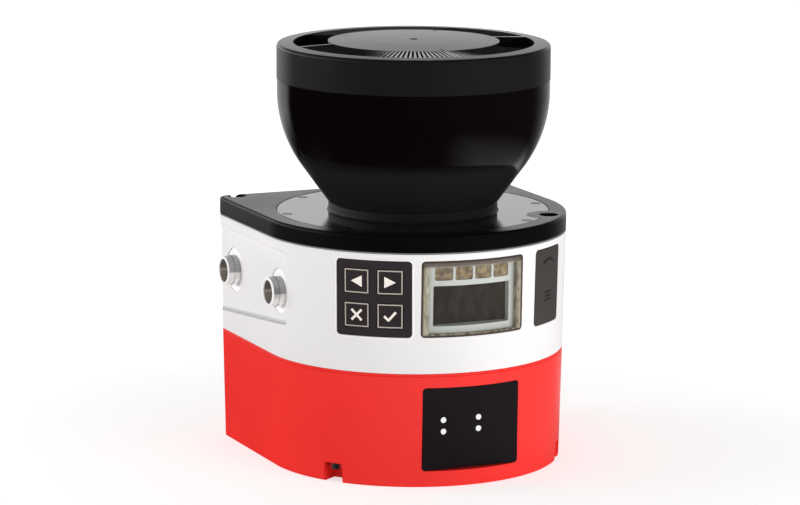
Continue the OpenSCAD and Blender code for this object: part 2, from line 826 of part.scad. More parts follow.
module top_cover() {
    color(BLACK) difference() {
        body_sweep(cover_edge);
        translate([0, 0, cover_low - 1]) cylinder(r = opening_r, h = cover_h + 2);
        seal_ring();
        difference() {
            translate([0, 0, cover_top - flange_t]) cylinder(r = recess_r, h = flange_t + 1);
            translate([cover_front_place[0], cover_front_place[1], 0])
                cylinder(r = scallop_r - scallop_gap, h = bowl_top, $fn = SMALL_FN);
        }
        at_cover_screws(cover_top - cover_well_h) cylinder(r = cover_well_r, h = CUT, $fn = SMALL_FN);
        at_cover_screws(cover_low - 1) cylinder(r = cover_screw_r + screw_gap, h = cover_h, $fn = SMALL_FN);
        at_flange_screws() translate([0, 0, cover_low - 1])
            cylinder(r = flange_screw_r, h = cover_h, $fn = SMALL_FN);
    }
}

module top_cover_screws() {
    seat = cover_top - cover_well_h;
    color(ZINC) difference() {
        union() {
            at_cover_screws(seat) cylinder(r = cover_head_r, h = cover_head_h, $fn = SMALL_FN);
            at_cover_screws(upper_top - cover_screw_l)
                cylinder(r = cover_screw_r, h = seat - upper_top + cover_screw_l + EPS, $fn = SMALL_FN);
        }
        at_cover_screws(seat + cover_head_h - cover_drive_h) cylinder(r = cover_drive_r, h = CUT, $fn = 6);
    }
}

// ---- Optics cover ----
flange_screw_in = 2.7;
flange_screw_place = flange_r - flange_screw_in;
flange_screw_foot = 0.5;
flange_head_taper = 0.3;
flange_edge = 0.3;
arc_drop = 4.5;
flange_screw_r = 0.9;
flange_screw_gap = 0.1;
flange_head_r = 1.7;
flange_head_h = 1;
first_screw_bearing = -8.5;
flare = 0.8;
arc_mid_z = bowl_top - arc_drop;
arc_mid_r = bowl_r - bowl_arc_r;
cone_tilt = 35;
arc_lap = 5;

// Half section inside the bowl's wall, at an inset from its outer face
module bowl_section(inset) {
    r = bowl_arc_r - inset;
    foot = cover_top + neck_h + inset / 2;
    middle = [arc_mid_r, arc_mid_z];
    polygon([
        [0, foot], [neck_r - inset, foot], middle + r * [cos(cone_tilt), -sin(cone_tilt)],
        middle + r / 2 * [1, 0], [0, arc_mid_z]
    ]);
    intersection() {
        translate(middle) circle(r);
        polygon([
            middle, middle + 2 * r * [cos(cone_tilt), -sin(cone_tilt)],
            middle + 2 * r * [cos(arc_lap), sin(arc_lap)]
        ]);
    }
    translate([0, arc_mid_z]) square([bowl_r - inset, bowl_top - arc_mid_z + inset]);
}

module at_flange_screws() {
    for (i = [0:flange_screws - 1]) rotate([0, 0, first_screw_bearing + 360 / flange_screws * i])
        translate([0, -flange_screw_place, 0]) children();
}

module optics_cover() {
    neck_top = cover_top + neck_h;
    flange_low = cover_top - flange_t;
    bore_r = neck_r - bowl_wall;
    color(SMOKE) difference() {
        rotate_extrude() difference() {
            union() {
                polygon([
                    [0, flange_low], [flange_r, flange_low], [flange_r, cover_top - flange_edge],
                    [flange_r - flange_edge, cover_top], [neck_r + flare, cover_top],
                    [neck_r + flare * 0.3, cover_top + flare * 0.3], [neck_r, cover_top + flare],
                    [neck_r, neck_top], [0, neck_top]
                ]);
                bowl_section(0);
            }
            bowl_section(bowl_wall);
            translate([0, flange_low - 1]) square([bore_r, neck_top + bowl_wall - flange_low]);
        }
        translate([cover_front_place[0], cover_front_place[1], flange_low - 1])
            cylinder(r = scallop_r, h = flange_t + 2, $fn = 64);
        at_flange_screws() translate([0, 0, flange_low - 1])
            cylinder(r = flange_screw_r + flange_screw_gap, h = flange_t + 2, $fn = SMALL_FN);
        at_flange_screws() translate([0, 0, cover_top - flange_head_h])
            cylinder(r = flange_head_r + flange_screw_gap, h = 1 + flange_head_h, $fn = SMALL_FN);
    }
}

module optics_cover_screws() {
    color(ZINC) at_flange_screws() {
        translate([0, 0, cover_top - flange_head_h])
            cylinder(r1 = flange_head_r, r2 = flange_head_r - flange_head_taper, h = flange_head_h, $fn = SMALL_FN);
        translate([0, 0, cover_low + flange_screw_foot])
            cylinder(r = flange_screw_r, h = cover_h - flange_head_h - flange_screw_foot + EPS, $fn = SMALL_FN);
    }
}

module optics_seal() {
    color([0.2, 0.2, 0.2]) seal_ring();
}

// ---- Cap ----
spigot_h = 3;
cap_ceiling = 5.5;
cap_cavity_r = 30;
cap_edge = 1;
hub_hole_r = 1.5;
lead_l = 5;
lead_w = 0.5;
lead_deep = 0.8;
// Half of the rib between a pocket and its fins, as an angle
rib_land = 1;
// Solid land between a channel's last slot and its end, as an angle
end_land = 1.5;
// Angles of the channels, counted anticlockwise from +X
pocket_a = 130;
rib_a = 177;
channel_b = 267;
pocket_b = 310;
rib_b = 358;
end_b = 410;

function dome_z(r) = cap_rim + cap_dome * (1 - pow(r / cap_r, 2));

// Smooth stretch of a channel between two angles
module channel_pocket(from, to) {
    rotate_extrude(angle = to - from, start = from)
        translate([channel_in, dome_z(channel_out) - channel_deep])
            square([channel_out - channel_in, channel_deep + CUT]);
}

// Slots between fins from one angle to another, going from one depth to the other
module channel_fins(from, to, deep_from, deep_to) {
    count = floor((to - from) / fin_pitch);
    for (i = [0:count - 1])
        rotate([0, 0, from + (i + 0.5) * (to - from) / count])
            translate([channel_in, -fin_slot / 2, dome_z(channel_out) - deep_from - (deep_to - deep_from) * i / count])
                cube([channel_out - channel_in, fin_slot, CUT]);
}

// Narrow grooves that lead from the channels' ends towards the middle
module channel_leads() {
    for (lead = [[pocket_a + 1, channel_in + lead_w], [channel_b, channel_out], [end_b, channel_out]])
        rotate([0, 0, lead[0]]) translate([channel_in - lead_l, -lead_w / 2, dome_z(channel_in) - lead_deep])
            cube([lead[1] - channel_in + lead_l, lead_w, CUT]);
}

module top_cap() {
    bore_r = bowl_r - bowl_wall - run_gap / 2;
    color([0.16, 0.16, 0.17]) difference() {
        rotate_extrude() polygon(concat(
            [[0, cap_rim - cap_ceiling], [cap_cavity_r, cap_rim - cap_ceiling],
             [cap_cavity_r, bowl_top - spigot_h], [bore_r, bowl_top - spigot_h], [bore_r, bowl_top],
             [cap_r, bowl_top]],
            [for (p = round_edge(cap_edge)) [cap_r - p[0], dome_z(cap_r - p[0]) - p[1]]],
            [for (r = [channel_out + 1, channel_in - 1, channel_in / 2, 0]) [r, dome_z(r)]]));
        channel_pocket(pocket_a, rib_a - rib_land);
        channel_fins(rib_a, channel_b - end_land, channel_deep, channel_shallow);
        channel_fins(channel_b + end_land, pocket_b - end_land, channel_shallow * 2, channel_deep);
        channel_pocket(pocket_b, rib_b - rib_land);
        channel_fins(rib_b, end_b - end_land, channel_deep, channel_shallow);
        channel_leads();
        translate([0, 0, cap_rim - 1]) cylinder(r = hub_hole_r, h = CUT, $fn = SMALL_FN);
    }
}

// ---- Scan unit ----
chassis_in = 6.9;
chassis_r = front_r - fascia_t - chassis_in;
chassis_bore_r = 9;
motor_foot = 1;
rotor_gap = 1.5;
hub_h = 2;
shaft_step = 2;
motor_bore_gap = 1;
bearing_seat = 1;
chassis_t = 3;
post_r = 20;
motor_r = 17;
motor_h = 9;
bearing_r = 5;
bearing_t = 3;
shaft_r = 2;
hub_r = 6;
carrier_r = 27;
carrier_t = 2.5;
mirror_r = 13;
mirror_t = 2.5;
mirror_foot = 0.5;
disc_r = 15;
disc_t = 0.8;
motor_z = cover_top + motor_foot;
rotor_z = motor_z + motor_h + rotor_gap;
shaft_low = motor_z + shaft_step;
carrier_z = rotor_z + hub_h;
mirror_mid_z = carrier_z + carrier_t + mirror_foot + mirror_r;

module scan_chassis() {
    color([0.66, 0.67, 0.69]) difference() {
        union() {
            translate([0, 0, deck_top]) cylinder(r = chassis_r, h = chassis_t);
            translate([0, 0, deck_top]) cylinder(r = post_r, h = motor_z - deck_top);
        }
        translate([0, 0, deck_top - 1]) cylinder(r = chassis_bore_r, h = CUT);
    }
}

module scan_motor() {
    color([0.45, 0.46, 0.48]) translate([0, 0, motor_z]) difference() {
        cylinder(r = motor_r, h = motor_h);
        translate([0, 0, -1]) cylinder(r = shaft_r + motor_bore_gap, h = motor_h + 2, $fn = SMALL_FN);
        for (z = [bearing_seat, motor_h - bearing_t]) translate([0, 0, z])
            cylinder(r = bearing_r, h = z > bearing_seat ? bearing_t + 1 : bearing_t, $fn = SMALL_FN);
    }
}

module motor_bearings() {
    color(ZINC) for (z = [bearing_seat, motor_h - bearing_t]) translate([0, 0, motor_z + z]) difference() {
        cylinder(r = bearing_r, h = bearing_t, $fn = SMALL_FN);
        translate([0, 0, -1]) cylinder(r = shaft_r + shaft_gap, h = bearing_t + 2, $fn = SMALL_FN);
    }
}

module motor_shaft() {
    color(ZINC) translate([0, 0, shaft_low])
        cylinder(r = shaft_r, h = carrier_z + carrier_t - shaft_low, $fn = SMALL_FN);
}

module encoder_disc() {
    color([0.30, 0.30, 0.33]) translate([0, 0, rotor_z]) difference() {
        cylinder(r = disc_r, h = disc_t);
        translate([0, 0, -1]) cylinder(r = hub_r, h = disc_t + 2);
    }
}

// Slab between two planes at 45 degrees, set by where they cross the scan axis
module mirror_slab(z0, z1) {
    span = 3 * mirror_r;
    translate([0, 0, z0]) rotate([45, 0, 0])
        translate([-span, -span, 0]) cube([2 * span, 2 * span, (z1 - z0) * cos(45)]);
}

module mirror_carrier() {
    face_z = mirror_mid_z;
    color([0.58, 0.59, 0.62]) difference() {
        union() {
            translate([0, 0, rotor_z]) cylinder(r = hub_r, h = carrier_z - rotor_z + EPS);
            translate([0, 0, carrier_z]) cylinder(r = carrier_r, h = carrier_t);
            intersection() {
                translate([0, 0, carrier_z]) cylinder(r = mirror_r, h = 3 * mirror_r);
                mirror_slab(face_z - 4 * mirror_r, face_z);
            }
        }
        translate([0, 0, rotor_z - 1]) cylinder(r = shaft_r, h = carrier_z + carrier_t - rotor_z + 1, $fn = SMALL_FN);
    }
}

module scan_mirror() {
    color([0.85, 0.88, 0.92]) intersection() {
        cylinder(r = mirror_r, h = bowl_top);
        mirror_slab(mirror_mid_z, mirror_mid_z + mirror_t);
    }
}

head_r = 14;
lens_r = 11;
lens_t = 2;
head_gap = 1.2;
head_z = mirror_mid_z + mirror_r + mirror_t + head_gap + lens_t;

module optical_head() {
    color([0.22, 0.22, 0.24]) translate([0, 0, head_z])
        cylinder(r = head_r, h = cap_rim - cap_ceiling - head_z);
}

module receiver_lens() {
    color([0.55, 0.30, 0.34]) translate([0, 0, head_z - lens_t]) cylinder(r = lens_r, h = lens_t);
}

base_housing();
communication_panel();
status_light_pipes();
status_board();
main_board();
housing_screws();
upper_housing();
mount_inserts();
housing_gasket();
top_cover();
top_cover_screws();
optics_cover();
optics_seal();
optics_cover_screws();
top_cap();
keypad_panel();
key_left();
key_right();
key_cancel();
key_confirm();
key_domes();
display_lens();
display_frame();
display_lcd();
indicator_lights();
usb_cover();
usb_port_shell();
usb_port_tongue();
socket_rear();
socket_front();
socket_nuts();
socket_inserts();
socket_contacts();
socket_board();
scan_chassis();
scan_motor();
motor_bearings();
motor_shaft();
encoder_disc();
mirror_carrier();
scan_mirror();
optical_head();
receiver_lens();
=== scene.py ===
"""Looks of a compact safety laser scanner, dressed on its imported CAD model.

Metres, in the CAD's frame: the scan axis is Z, -Y is the front and the sockets are on -X.
A bearing is an angle seen from above: 0 is straight ahead and + is towards +X.
Sizes and places that are written as numbers are in mm and become metres through MM. The
studio's own distances, those of the floor, the lamps and the camera, are in metres.
"""

import functools
import json
import math

import bmesh
import bpy
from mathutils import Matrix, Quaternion, Vector
from mathutils.bvhtree import BVHTree

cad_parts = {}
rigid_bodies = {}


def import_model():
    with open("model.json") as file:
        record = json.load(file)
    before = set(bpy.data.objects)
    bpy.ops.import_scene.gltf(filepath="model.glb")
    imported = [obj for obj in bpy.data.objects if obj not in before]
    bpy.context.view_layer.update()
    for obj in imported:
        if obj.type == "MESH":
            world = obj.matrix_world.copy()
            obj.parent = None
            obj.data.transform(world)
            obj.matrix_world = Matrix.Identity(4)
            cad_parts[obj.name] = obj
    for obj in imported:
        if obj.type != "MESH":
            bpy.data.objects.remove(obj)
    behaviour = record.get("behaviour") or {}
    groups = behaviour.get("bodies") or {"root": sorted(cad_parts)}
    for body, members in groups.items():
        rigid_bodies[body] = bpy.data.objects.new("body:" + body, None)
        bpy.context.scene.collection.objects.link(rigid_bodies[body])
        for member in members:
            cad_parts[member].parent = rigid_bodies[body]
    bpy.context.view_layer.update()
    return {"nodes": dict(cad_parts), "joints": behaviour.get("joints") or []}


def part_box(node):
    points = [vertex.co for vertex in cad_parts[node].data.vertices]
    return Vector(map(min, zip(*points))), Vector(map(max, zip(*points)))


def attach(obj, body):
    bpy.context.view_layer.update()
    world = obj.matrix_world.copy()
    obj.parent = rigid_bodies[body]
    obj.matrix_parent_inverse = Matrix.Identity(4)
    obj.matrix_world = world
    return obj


# Blender's start-up cube, lamp and camera
for leftover in list(bpy.data.objects):
    bpy.data.objects.remove(leftover)

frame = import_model()
nodes = frame["nodes"]

MM = 0.001


def span(node):
    """Lowest corner, highest corner and middle of a CAD node."""
    low, high = (Vector(corner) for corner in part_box(node))
    return low, high, (low + high) / 2


# ---------------------------------------------------------------- node trees


class Graph:
    """A node tree with short calls that add nodes and join them."""

    def __init__(self, tree):
        self.tree = tree

    def put(self, socket, value):
        """Joins an output to a socket, or writes a plain value on it."""
        if isinstance(value, bpy.types.NodeSocket):
            self.tree.links.new(value, socket)
        else:
            socket.default_value = value

    def add(self, kind, inputs=None, **settings):
        """Adds a node with its inputs joined or written, and gives its outputs."""
        node = self.tree.nodes.new(kind)
        for key, value in settings.items():
            setattr(node, key, value)
        for key, value in (inputs or {}).items():
            self.put(node.inputs[key], value)
        return node.outputs

    def math(self, operation, a, b=0.0):
        return self.add("ShaderNodeMath", {0: a, 1: b}, operation=operation)[0]

    def plus(self, a, b):
        return self.math("ADD", a, b)

    def minus(self, a, b):
        return self.math("SUBTRACT", a, b)

    def times(self, *values):
        return functools.reduce(functools.partial(self.math, "MULTIPLY"), values)

    def least(self, *values):
        return functools.reduce(functools.partial(self.math, "MINIMUM"), values)

    def most(self, *values):
        return functools.reduce(functools.partial(self.math, "MAXIMUM"), values)

    def distance(self, a, b):
        """Length of the vector whose two parts are a and b."""
        return self.math("SQRT", self.plus(self.times(a, a), self.times(b, b)))

    def vector(self, operation, *vectors):
        """Outputs of a vector operation: the vector, and the value under "Value"."""
        return self.add("ShaderNodeVectorMath", dict(enumerate(vectors)), operation=operation)

    def parts(self, vector):
        """The x, y and z of a vector."""
        return self.add("ShaderNodeSeparateXYZ", {0: vector})

    def ramp(self, value, low, high, to_low=0.0, to_high=1.0, shape="LINEAR"):
        """Takes a value from low..high to to_low..to_high, and holds it level beyond them."""
        ends = {"Value": value, "From Min": low, "From Max": high, "To Min": to_low, "To Max": to_high}
        return self.add("ShaderNodeMapRange", ends, interpolation_type=shape)[0]

    def smooth(self, value, low, high, to_low=0.0, to_high=1.0):
        return self.ramp(value, low, high, to_low, to_high, "SMOOTHSTEP")

    def above(self, length, low_mm, high_mm):
        """0 where a length in metres is under low_mm, rising to 1 at high_mm."""
        return self.ramp(length, low_mm * MM, high_mm * MM)

    def below(self, length, low_mm, high_mm):
        """1 where a length in metres is under low_mm, falling to 0 at high_mm."""
        return self.ramp(length, low_mm * MM, high_mm * MM, 1.0, 0.0)

    def pick(self, share, a, b):
        """The value a where share is 0 and b where it is 1."""
        return self.add("ShaderNodeMix", {0: share, 2: a, 3: b})[0]

    def tint(self, share, a, b):
        """The colour a where share is 0 and b where it is 1."""
        return self.add("ShaderNodeMix", {0: share, 6: a, 7: b}, data_type="RGBA")[2]


class Surface(Graph):
    """A new material with its shader, its output and its place on the object."""

    def __init__(self, name):
        self.material = bpy.data.materials.new(name)
        self.material.use_nodes = True
        super().__init__(self.material.node_tree)
        self.shader = self.tree.nodes["Principled BSDF"]
        self.output = self.tree.nodes["Material Output"]
        self.place = self.add("ShaderNodeTexCoord")["Object"]

    def set(self, **inputs):
        """Joins or writes the shader's own inputs, with _ for each space in a name."""
        for key, value in inputs.items():
            self.put(self.shader.inputs[key.replace("_", " ")], value)

    def coordinates(self):
        return self.parts(self.place)

    def noise(self, size_mm, detail=2.0, stretch=(1, 1, 1)):
        """Noise whose blotches are about size_mm wide, from 0 to 1."""
        mapped = self.add("ShaderNodeMapping", {"Vector": self.place, "Scale": stretch})[0]
        shape = {"Vector": mapped, "Scale": 1 / (size_mm * MM), "Detail": detail}
        return self.add("ShaderNodeTexNoise", shape)["Fac"]

    def rounded(self, edge_mm):
        """The surface's normal with its edges rounded by edge_mm."""
        return self.add("ShaderNodeBevel", {"Radius": edge_mm * MM}, samples=4)[0]

    def relief(self, height, depth_mm, under=None):
        """Gives the surface fine relief of depth_mm, on its own normal or on the one under it."""
        inputs = {"Height": height, "Distance": depth_mm * MM}
        if under:
            inputs["Normal"] = under
        self.set(Normal=self.add("ShaderNodeBump", inputs)[0])


# ---------------------------------------------------------------- materials

FLOW = 22  # width of the faint flow marks in moulded and coated surfaces
GRAIN = 0.35  # width of the grain in a spark-eroded surface


def srgb(r, g, b):
    """Linear colour of an 8-bit screen colour."""

    def one(c):
        c /= 255
        return c / 12.92 if c <= 0.04045 else ((c + 0.055) / 1.055) ** 2.4

    return (one(r), one(g), one(b), 1.0)


def darkened(color, share):
    """The colour with a share of its light taken away."""
    return tuple(c * (1 - share) for c in color[:3]) + (1.0,)


def moulded(name, color, rough=0.45, grain_mm=GRAIN, depth_mm=0.012, edge_mm=0.25, uneven=0.05):
    """Moulded or coated surface: fine spark-eroded grain, faint flow marks, rounded edges."""
    m = Surface(name)
    flow = m.noise(FLOW, detail=3)
    grain = m.noise(grain_mm)
    darker = darkened(color, uneven)
    marked = m.tint(m.ramp(flow, 0.3, 0.7), darker, color)
    m.set(
        Base_Color=m.tint(m.times(grain, 0.10), marked, darker),
        Roughness=m.plus(m.ramp(flow, 0.2, 0.8, rough - 0.03, rough + 0.03), m.times(grain, 0.05)),
    )
    m.relief(grain, depth_mm, m.rounded(edge_mm) if edge_mm else None)
    return m.material


def metal(name, color, rough=0.25, depth_mm=0.004):
    """Turned or plated metal with fine tool marks."""
    m = Surface(name)
    marks = m.noise(0.4, detail=4)
    stain = m.noise(5)
    m.set(
        Base_Color=m.tint(m.ramp(stain, 0.3, 0.8), color, darkened(color, 0.14)),
        Metallic=1.0,
        Roughness=m.ramp(marks, 0.2, 0.8, rough * 0.75, rough * 1.3),
    )
    m.relief(marks, depth_mm, m.rounded(0.1))
    return m.material


def plated_tube():
    """Satin nickel plate of the side sockets.

    Its upper half is darker and the rim of its mouth is a bright white, in the colour itself:
    they stand in for what such small round tubes mirror.
    """
    m = Surface("satin_nickel")
    low, _, middle = span("socket_front")
    x, _, z = m.coordinates()
    stain = m.noise(5)
    mouth = m.below(m.minus(x, low.x), 0.35, 0.45)
    upper = m.above(m.minus(z, middle.z), -0.2, 0.2)
    plate = m.tint(m.times(stain, 0.2), srgb(250, 249, 248), srgb(225, 224, 223))
    plate = m.tint(upper, plate, srgb(168, 167, 168))
    m.set(
        Base_Color=m.tint(mouth, plate, srgb(252, 251, 250)),
        Metallic=m.ramp(mouth, 0.0, 1.0, 0.6, 0.0),
        Roughness=m.ramp(stain, 0.2, 0.8, 0.2, 0.28),
    )
    m.relief(stain, 0.0, m.rounded(0.1))
    return m.material


WINDOW_FOOT = (109.0, 114.0)  # heights over which the cone of the optics cover becomes its window
NECK_FOOT = (91.05, 91.2)  # heights at which the neck's rougher band starts, on the flange,
NECK_TOP = (94.0, 94.3)  # and ends, under the cone


def smoked_plastic():
    """Polished infrared-clear plastic: near black, faintly red in the window, rougher at the neck."""
    m = Surface("smoked_plastic")
    _, _, z = m.coordinates()
    window = m.above(z, *WINDOW_FOOT)
    neck = m.times(m.above(z, *NECK_FOOT), m.below(z, *NECK_TOP))
    haze = m.noise(30)
    rough = m.most(m.ramp(window, 0, 1, 0.12, 0.07), m.times(neck, 0.5))
    m.set(
        Base_Color=m.tint(window, srgb(30, 29, 29), srgb(8, 4, 5)),
        Roughness=m.plus(rough, m.times(haze, 0.02)),
        Specular_IOR_Level=0.62,
    )
    m.relief(haze, 0.003, m.rounded(0.15))
    return m.material


SPOT_R = 8.0  # radius of the flat round faces that the sockets stand on
SPOT_X = (-52, -51.5)  # they lie left of this
LEDGE_Z = 53.3  # height of the socket pocket's ledge beside the scan axis
LEDGE_ANGLE = 5.5  # its slope towards the back, in degrees
LEDGE_X = (-54.3, -54.0)  # the pocket's ledge lies left of this
LEDGE_CURVE = 2.6  # height over which the pocket's floor curves out to the ledge
LEDGE_STEP = 0.6  # height of the ledge's own rounded edge
LEDGE_TILT = 1.8  # how far the normal tilts up at the foot of the curve
LEDGE_EASE = 1.5  # how quickly the tilt fades along the curve


def ledge_normal(m, x, y, z):
    """The shell's normal, tilted up where the pocket's floor curves out to its sloping ledge."""
    above = m.minus(z, LEDGE_Z * MM)
    above = m.plus(above, m.times(y, math.tan(math.radians(LEDGE_ANGLE))))
    curve = m.least(m.below(above, 0.0, LEDGE_CURVE), m.above(above, -LEDGE_STEP, 0.0))
    curve = m.times(m.math("POWER", curve, LEDGE_EASE), m.below(x, *LEDGE_X))
    upward = m.add("ShaderNodeCombineXYZ", {"Z": m.times(curve, LEDGE_TILT)})[0]
    return m.vector("NORMALIZE", m.vector("ADD", m.rounded(0.25), upward)[0])[0]


def white_shell():
    """White shell with a fine grain, a little brighter on the round faces under the sockets."""
    m = Surface("white_shell")
    x, y, z = m.coordinates()
    middles = [span(socket)[2] for socket in ("socket_rear", "socket_front")]
    near = m.least(*(m.distance(m.minus(y, middle.y), m.minus(z, middle.z)) for middle in middles))
    spot = m.times(m.below(x, *SPOT_X), m.below(near, SPOT_R - 0.05, SPOT_R + 0.05))
    flow = m.noise(FLOW, detail=3)
    grain = m.noise(GRAIN)
    paint = m.tint(m.ramp(flow, 0.3, 0.7), srgb(229, 227, 227), srgb(232, 230, 230))
    m.set(
        Base_Color=m.tint(spot, paint, srgb(252, 250, 250)),
        Roughness=m.plus(0.47, m.times(grain, 0.08)),
    )
    m.relief(grain, 0.008, ledge_normal(m, x, y, z))
    return m.material


FINS_IN = (31.0, 31.2)  # radii between which the disc in the middle ends and the fins begin
FINS_OUT = (43.4, 43.6)  # radii between which the fins end and the rim begins
FINS_Z = (146, 147)  # the rings of fins lie above this
SMOOTH_X = -11  # the fins are smoother in front of the scan axis, about this x,
SMOOTH_TURN = (0.25, 0.5)  # as far aside as this share of their radius
RIB_SLOPE = 0.044  # the ribs beside the smooth pockets turn this far from the X axis
POCKET_RIB = (0.7, 0.9)  # half of their width


def cap_plastic():
    """Fine-grained black plastic, rough on the fins between the rims, but less on the front ones."""
    m = Surface("cap_black")
    x, y, z = m.coordinates()
    radius = m.distance(x, y)
    ring = m.times(m.above(radius, *FINS_IN), m.below(radius, *FINS_OUT), m.above(z, *FINS_Z))
    turn = m.math("DIVIDE", m.math("ABSOLUTE", m.minus(x, SMOOTH_X * MM)), radius)
    front = m.times(m.ramp(turn, *SMOOTH_TURN, 1.0, 0.0), m.below(y, 0.0, 1.0))
    rib = m.below(m.math("ABSOLUTE", m.plus(y, m.times(x, RIB_SLOPE))), *POCKET_RIB)
    smooth_part = m.most(front, rib)
    fins = m.times(ring, m.minus(1.0, smooth_part))
    grain = m.noise(0.3)
    flow = m.noise(FLOW, detail=3)
    matt = m.plus(m.ramp(fins, 0.0, 1.0, 0.27, 0.8), m.times(grain, 0.06))
    polish = m.ramp(m.times(ring, smooth_part), 0.0, 1.0, 1.0, 0.3)
    m.set(
        Base_Color=m.tint(fins, m.tint(flow, srgb(22, 21, 22), srgb(26, 25, 26)), srgb(16, 16, 16)),
        Roughness=m.times(polish, matt),
    )
    m.relief(grain, 0.008, m.rounded(0.4))
    return m.material


LENS_GAP_SHADOW = (0.35, 0.9)  # how far the painted shadow of the gap round the lens reaches in
LENS_SIDE = (2.2, 3.1)  # how far its tan border reaches in at the sides,
LENS_TOP = (1.8, 2.6)  # at the top
LENS_FOOT = (0.7, 1.3)  # and at the foot


def lens_plastic():
    """Clear plastic, tan towards its border and darker at its top. The dark rim at its edge is painted
    shadow of the gap round the lens.
    """
    m = Surface("lens_plastic")
    low, high, _ = span("display_lens")
    x, _, z = m.coordinates()
    from_side = m.minus(high.x, m.math("ABSOLUTE", x))
    from_top = m.minus(high.z, z)
    from_foot = m.minus(z, low.z)
    # rim: painted shadow of the gap round the lens, dark and near opaque
    rim = m.below(m.least(from_side, from_top, from_foot), *LENS_GAP_SHADOW)
    top = m.below(from_top, *LENS_TOP)
    border = m.most(m.below(from_side, *LENS_SIDE), top, m.below(from_foot, *LENS_FOOT))
    cloud = m.noise(2.5, detail=4)
    marble = m.noise(2.2, detail=3, stretch=(1, 1, 0.35))
    tan = m.tint(m.ramp(marble, 0.4, 0.6), srgb(188, 182, 160), srgb(128, 116, 98))
    tan = m.tint(top, tan, srgb(112, 102, 94))
    m.set(
        Base_Color=m.tint(rim, tan, srgb(70, 60, 56)),
        Roughness=m.ramp(cloud, 0.2, 0.8, 0.06, 0.12),
        Alpha=m.most(m.ramp(border, 0.0, 1.0, 0.03, 0.7), m.times(rim, 0.92)),
        Specular_IOR_Level=0.6,
    )
    m.relief(cloud, 0.006, m.rounded(0.7))
    return m.material


def diffuser():
    """Unlit light windows, amber-brown and mottled by what lies behind them."""
    m = Surface("diffuser")
    blotch = m.noise(1.7, detail=4)
    speck = m.noise(0.5)
    base = m.tint(m.ramp(blotch, 0.35, 0.65), srgb(98, 84, 78), srgb(160, 142, 104))
    m.set(
        Base_Color=m.tint(m.ramp(speck, 0.6, 0.75), base, srgb(186, 176, 150)),
        Roughness=0.35,
    )
    m.relief(blotch, 0.08, m.rounded(0.2))
    return m.material


def use(material, *names):
    """Gives CAD nodes a material."""
    for name in names:
        slots = nodes[name].data.materials
        slots.clear()
        slots.append(material)


# The shells, from the base up
use(moulded("red_coat", srgb(247, 40, 34), rough=0.4, depth_mm=0.006), "base_housing")
use(moulded("panel_black", srgb(27, 21, 24), rough=0.3, grain_mm=0.5, depth_mm=0.004, edge_mm=0.3),
    "communication_panel")
use(moulded("pipe_white", srgb(238, 238, 240), rough=0.3), "status_light_pipes")
use(white_shell(), "upper_housing")
use(moulded("gasket_grey", srgb(128, 127, 128), rough=0.7, edge_mm=0.1), "housing_gasket")
use(moulded("cover_black", srgb(7, 7, 8), rough=0.28, grain_mm=0.3, depth_mm=0.006, edge_mm=0.8),
    "top_cover")
use(moulded("seal_black", srgb(28, 28, 28), rough=0.7), "optics_seal")
use(smoked_plastic(), "optics_cover")
use(cap_plastic(), "top_cap")

# What is set into the upper housing
use(moulded("keypad_foil", srgb(50, 42, 46), rough=0.42, grain_mm=0.25, depth_mm=0.006, edge_mm=0.3),
    "keypad_panel")
use(moulded("key_foil", srgb(49, 41, 45), rough=0.4, grain_mm=0.25, depth_mm=0.006, edge_mm=0.2),
    "key_left", "key_right", "key_cancel", "key_confirm")
use(lens_plastic(), "display_lens")
use(moulded("frame_pale", srgb(200, 204, 200), rough=0.5), "display_frame")
use(moulded("lcd_dark", srgb(41, 36, 35), rough=0.4, grain_mm=0.4, depth_mm=0.002), "display_lcd")
use(diffuser(), "indicator_lights")
use(moulded("usb_rubber", srgb(70, 63, 61), rough=0.62, grain_mm=0.5, depth_mm=0.05, edge_mm=0.6,
            uneven=0.14),
    "usb_cover")
use(plated_tube(), "socket_rear", "socket_front")
use(moulded("insert_grey", srgb(206, 202, 198)), "socket_inserts")
use(metal("gold", srgb(226, 186, 100), rough=0.2), "socket_contacts")
use(metal("brass", srgb(206, 172, 96)), "mount_inserts")

# Screws, and what lies inside
use(metal("zinc", srgb(222, 223, 225), rough=0.3), "housing_screws", "usb_port_shell", "socket_nuts",
    "key_domes", "motor_bearings", "motor_shaft")
use(metal("black_screw", srgb(92, 92, 96), rough=0.3), "top_cover_screws", "optics_cover_screws",
    "scan_motor")
use(metal("cast", srgb(168, 170, 174), rough=0.45, depth_mm=0.02), "scan_chassis", "mirror_carrier")
use(metal("mirror_face", srgb(240, 242, 245), rough=0.03, depth_mm=0.0), "scan_mirror")
use(moulded("insert_black", srgb(30, 30, 32), rough=0.5), "usb_port_tongue", "optical_head")
use(moulded("disc_dark", srgb(60, 60, 66), rough=0.3), "encoder_disc")
use(moulded("lens_red", srgb(120, 50, 60), rough=0.1), "receiver_lens")
use(moulded("board_green", srgb(34, 96, 58), rough=0.4, grain_mm=1.2), "status_board", "main_board",
    "socket_board")


# ---------------------------------------------------------------- print and trim on the round front

STEP = 1.0  # longest stretch of print or trim between two points that lie on the face
OUTSIDE = 100  # a distance from the scan axis at which every face has been passed
WELD = 0.002  # corners that lie closer than this become one


class Face:
    """The outer face of a CAD node, seen along one bearing: u runs across and v up."""

    def __init__(self, node, bearing, height):
        mesh = nodes[node].data
        self.tree = BVHTree.FromPolygons(
            [v.co for v in mesh.vertices], [p.vertices for p in mesh.polygons])
        self.out = Vector((math.sin(bearing), -math.cos(bearing), 0))
        self.across = Vector((math.cos(bearing), math.sin(bearing), 0))
        self.middle = Vector((0, 0, height))

    def point(self, u, v):
        """The place on the face that is met from outside, at u and v in mm."""
        start = self.middle + self.out * OUTSIDE * MM + self.across * u * MM + Vector((0, 0, v * MM))
        return self.tree.ray_cast(start, -self.out)[0]


